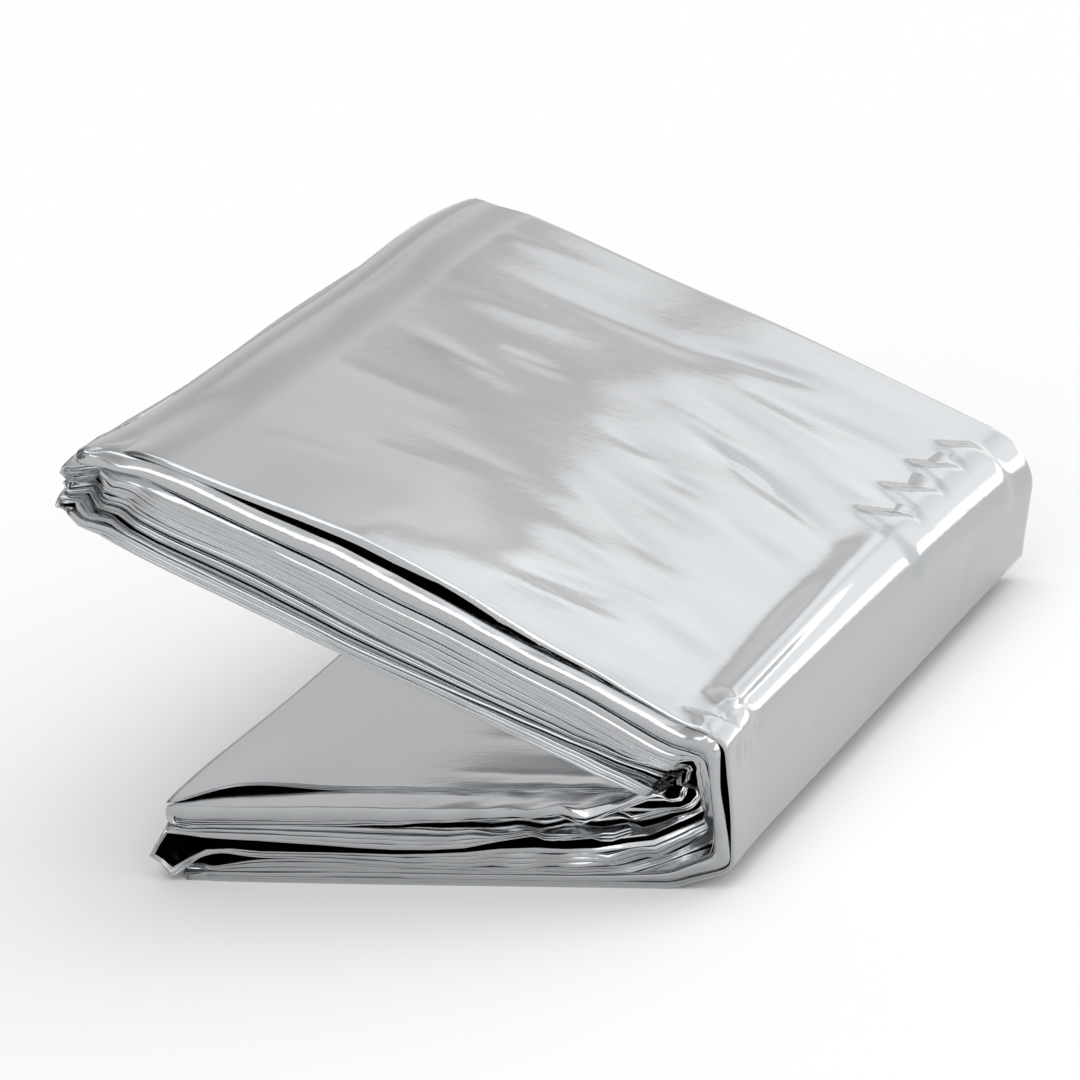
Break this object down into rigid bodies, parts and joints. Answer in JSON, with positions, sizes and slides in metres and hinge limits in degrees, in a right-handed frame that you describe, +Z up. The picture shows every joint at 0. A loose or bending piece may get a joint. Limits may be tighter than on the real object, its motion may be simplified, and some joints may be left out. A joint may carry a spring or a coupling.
{
  "type": "emergency foil blanket",
  "caption": "Folded metallised film rescue blanket, a pad of nested layers left half open on its last fold, resting on one flap.",
  "frame": {"origin": "on the surface it rests on, under the middle of the whole", "axes": "+X from the open ends of the flaps to the spine, +Y along the spine, +Z up"},
  "size_m": [0.1019, 0.1311, 0.0677],
  "materials": {
    "metallised_film": "mirror-bright metallised film with soft creases"
  },
  "bodies": {
    "root": {"foil_blanket": "metallised_film"}
  },
  "joints": []
}
